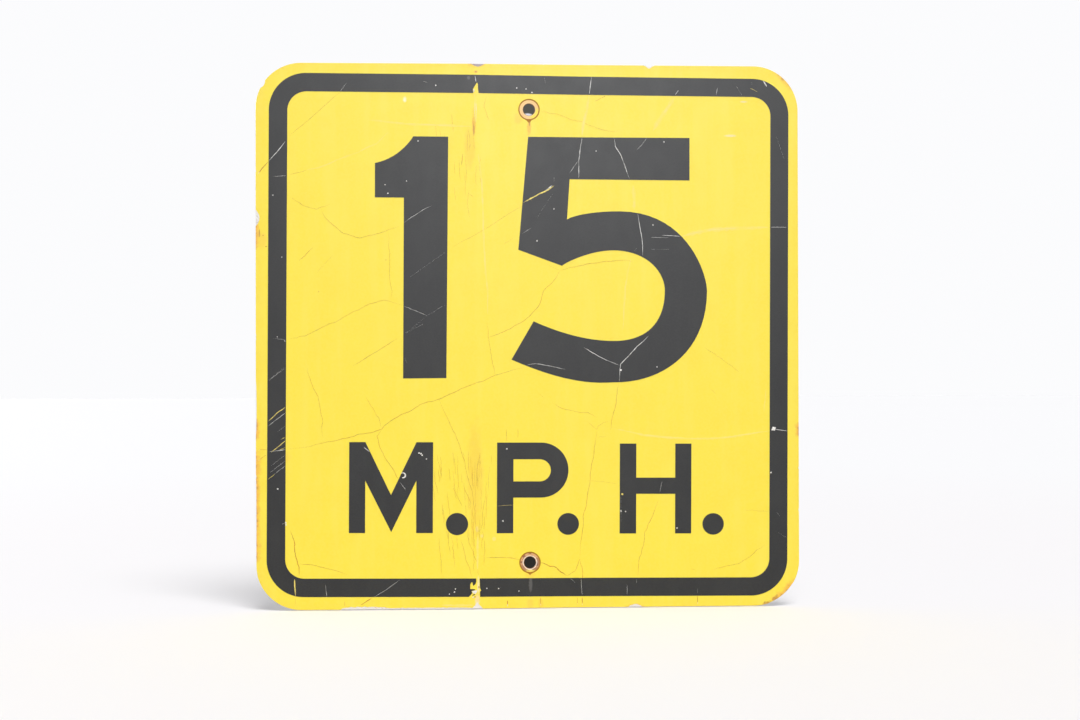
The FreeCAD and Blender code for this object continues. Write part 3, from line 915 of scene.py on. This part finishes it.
# Flecks. Spots of white undercoat where the black has popped off, and larger flakes of it
# that lie open at the two ends of the crease, in the chip at the left edge, in the right
# band and in the M. A fleck has its place, across and up, and its radius.
flecked = Finish("white_undercoat", roughness=0.6, specular=0.3)
FLECK = colour(0.93, 0.91, 0.87)
mottled = flecked.step(flecked.cloud(1.6, seed=41.0), 0.3, 0.7)
flecked.paint("Base Color", flecked.mix(mottled, colour(0.68, 0.65, 0.61), FLECK))
flecked.relief(flecked.cloud(0.6), depth=0.03)
flecks = (
    (56.6, 156.0, 0.5), (114.4, 164.0, 0.5), (104.8, 93.7, 0.5), (20.9, 106.9, 0.5),
    (-93.3, 163.5, 0.6), (-121.0, 126.8, 0.5), (-118.5, 119.6, 0.6), (-103.0, 129.9, 0.5),
    (-206.9, 66.0, 0.5), (-214.4, 117.8, 0.5), (107.9, -26.4, 0.5), (-210.6, -127.6, 0.7),
    (-22.7, -155.4, 0.7), (-19.2, -95.0, 0.6), (2.5, 205.0, 0.7), (-10.4, 208.6, 0.6),
    (-2.5, 207.9, 0.6), (-78.4, 210.3, 0.7), (-86.7, -103.1, 0.5), (-93.0, -98.0, 0.6),
    (-91.2, -98.6, 0.8), (-90.3, -99.8, 0.6), (77.0, -147.8, 0.6), (80.8, -148.3, 0.5),
    (124.5, -162.5, 0.6), (-67.7, -216.2, 0.5), (-63.5, -214.6, 0.6), (-62.6, -212.0, 0.5),
    (-36.3, -211.8, 0.5), (-26.5, -212.0, 0.5), (-9.4, -214.3, 0.5), (77.3, -28.9, 0.9),
    (6.5, 80.0, 0.6), (204.8, -116.0, 0.8), (-210.8, -0.6, 0.4), (-204.6, -4.0, 0.4),
    (-203.9, -155.8, 0.7), (-203.8, -157.6, 0.6),
)
flecks = [(blob(across, up, radius, rng), []) for across, up, radius in flecks]
coat("undercoat_flecks", flecked, flecks, top=0.32, foot=0.15)
flakes = [
    [(-47.0, 207.4), (-46.2, 207.0), (-45.9, 205.2), (-46.7, 204.9)],
    [(-48.8, -214.0), (-46.5, -213.5), (-44.6, -213.1), (-44.4, -214.6), (-46.0, -216.2)]
    + [(-47.8, -215.7)],
    [(-48.6, -219.1), (-47.3, -218.4), (-46.8, -218.9), (-47.8, -219.7)],
    [(-228.3, 104.0), (-226.6, 102.2), (-225.5, 99.4), (-225.8, 96.2), (-227.6, 93.6)]
    + [(-228.4, 95.6), (-228.4, 101.8)],
    [(205.2, -80.2), (206.4, -77.2), (209.2, -77.8), (208.2, -80.6)],
    arc((-106.1, -116.7), 2.4, -115, 245) + arc((-106.6, -116.6), 1.7, 115, -225),
]
flakes = [([Vector(point) for point in flake], []) for flake in flakes]
coat("crease_flakes", flecked, flakes, top=0.34, foot=0.1)

# The stage. A white floor, which keeps the sign's shadow. Near the sign it is painted a touch
# greyer and pinker, as painted shade that fades out further off. It lies a little under the
# plate's foot, so that a dark line shows between the two.
floor_mesh = bpy.data.meshes.new("floor")
floor_reach, foot_gap = 14.0, 0.8
floor_level = (-half_plate - foot_gap) * MM
corners = [
    (x * floor_reach, y * floor_reach, floor_level)
    for x, y in ((-1, -1), (1, -1), (1, 1), (-1, 1))
]
floor_mesh.from_pydata(corners, [], [(0, 1, 2, 3)])
paper = Finish("white_floor", roughness=0.9, specular=0.1)
near_end, far_end = 700.0, 2600.0
away = paper.node("VectorMath", {0: paper.place}, out=1, operation="LENGTH")
# Painted shade: full near the sign, gone by far_end.
painted_floor_shade = paper.step(away, far_end, near_end)
paper.paint("Base Color", paper.mix(painted_floor_shade, colour(0.93, 0.93, 0.94), colour(0.925, 0.91, 0.92)))
floor_mesh.materials.append(paper.material)
floor = bpy.data.objects.new("floor", floor_mesh)
bpy.context.scene.collection.objects.link(floor)

# Still the stage. Behind each bolt hole stands a small screen that only the front sees. It is
# painted shade: a near black that it gives out itself, standing for the shadowed gap behind
# the plate, so that the holes look dark. The upper one also has a painted pool of light, a pale
# spot where light falls through the hole.
screen_radius, screen_gap, screen_sides = 11.0, 6.0, 32
for up, light_pool_strength, shade_level in zip(hole_heights, (1.0, 0.0), (0.10, 0.03)):
    screen_mesh = bpy.data.meshes.new("screen")
    rim_spots = circle((0.0, up), screen_radius, steps=screen_sides)
    rim_spots = [(spot.x * MM, screen_gap * MM, spot.y * MM) for spot in rim_spots]
    screen_mesh.from_pydata(rim_spots, [], [tuple(range(screen_sides))])
    painted_shade = Finish("painted_shade", roughness=1.0, specular=0.0)
    # Painted light: a pale pool where light falls through the upper hole onto the painted shade.
    painted_light_pool = painted_shade.patch(-0.6, up - 4.8, 5.6, 3.4, soft=0.4, ragged=0.1, most=light_pool_strength)
    # Painted shade: a near black for the shadowed gap behind the plate, with the painted pool
    # over it.
    painted_shade_colour = painted_shade.mix(painted_light_pool, colour(shade_level, 0.96 * shade_level, 0.86 * shade_level), colour(0.75, 0.74, 0.82))
    # Both are given out by emission, so the screen glows with them though it is no lamp.
    lit = painted_shade.node("Emission", {"Color": painted_shade_colour, "Strength": 1.0})
    clear = painted_shade.node("BsdfTransparent", {})
    behind = painted_shade.node("NewGeometry", {}, out="Backfacing")
    seen = painted_shade.node("MixShader", {0: behind, 1: lit, 2: clear})
    output = painted_shade.tree.nodes["Material Output"]
    painted_shade.tree.links.new(seen, output.inputs["Surface"])
    screen_mesh.materials.append(painted_shade.material)
    screen = bpy.data.objects.new("screen", screen_mesh)
    bpy.context.scene.collection.objects.link(screen)
    screen.visible_shadow = False
    screen.visible_diffuse = False
    screen.visible_glossy = False

# The light. A white world at half strength, which the eye, mirrors and clear things see at
# full strength, a soft sun, a tall window's gloss and a faint sun from behind.
world = bpy.data.worlds.new("white_world")
bpy.context.scene.world = world
world.use_nodes = True
nodes, links = world.node_tree.nodes, world.node_tree.links
background = nodes["Background"]
path = nodes.new("ShaderNodeLightPath")
seen = path.outputs["Is Camera Ray"]
for ray in ("Is Glossy Ray", "Is Transmission Ray"):
    either = nodes.new("ShaderNodeMath")
    either.operation = "MAXIMUM"
    links.new(seen, either.inputs[0])
    links.new(path.outputs[ray], either.inputs[1])
    seen = either.outputs[0]
lighting_strength, seen_strength = 0.5, 1.0
strength = nodes.new("ShaderNodeMapRange")
links.new(seen, strength.inputs["Value"])
strength.inputs["To Min"].default_value = lighting_strength
strength.inputs["To Max"].default_value = seen_strength
links.new(strength.outputs[0], background.inputs["Strength"])
background.inputs["Color"].default_value = colour(0.97, 0.972, 0.985)


def lamp(name, kind, place, aim, power, **settings):
    """A lamp at a place, turned to look at another."""
    light = bpy.data.lights.new(name, kind)
    light.energy = power
    for setting, value in settings.items():
        setattr(light, setting, value)
    stand = bpy.data.objects.new(name, light)
    bpy.context.scene.collection.objects.link(stand)
    stand.location = place
    stand.rotation_euler = (Vector(aim) - Vector(place)).to_track_quat("-Z", "Y").to_euler()
    return stand


lamp("sky", "SUN", (0.25, -1.0, 1.75), (0.0, 0.0, 0.0), power=1.8, angle=math.radians(30))
window_light = lamp(
    "window", "AREA", (0.055, -1.3, 0.93), (0.0, 0.0, 0.1), power=34.0,
    shape="RECTANGLE", size=0.5, size_y=1.5,
)
window_light.data.color = (0.97, 0.985, 1.0)
window_light.visible_camera = False
window_light.visible_diffuse = False
behind_light = lamp("behind", "SUN", (-1.0, 2.0, 0.4), (0.0, 0.0, 0.0), power=0.9)
behind_light.data.use_shadow = False

# The camera. Near, square on and level with the sign's middle. Its place, lens and turn
# were fitted to the outline of the plate and the lines of the border.
lens = bpy.data.cameras.new("camera")
lens.lens, lens.sensor_width = 59.33, 36.0
camera = bpy.data.objects.new("camera", lens)
bpy.context.scene.collection.objects.link(camera)
camera_place = Vector((-116.9, -1494.1, -32.4)) * MM
yaw, pitch, roll = (math.radians(angle) for angle in (-4.815, 0.461, 0.13))
camera.matrix_world = (
    Matrix.Translation(camera_place)
    @ Matrix.Rotation(yaw, 4, "Z")
    @ Matrix.Rotation(math.pi / 2 + pitch, 4, "X")
    @ Matrix.Rotation(-roll, 4, "Z")
)
bpy.context.scene.camera = camera
bpy.context.scene.view_settings.view_transform = "Standard"
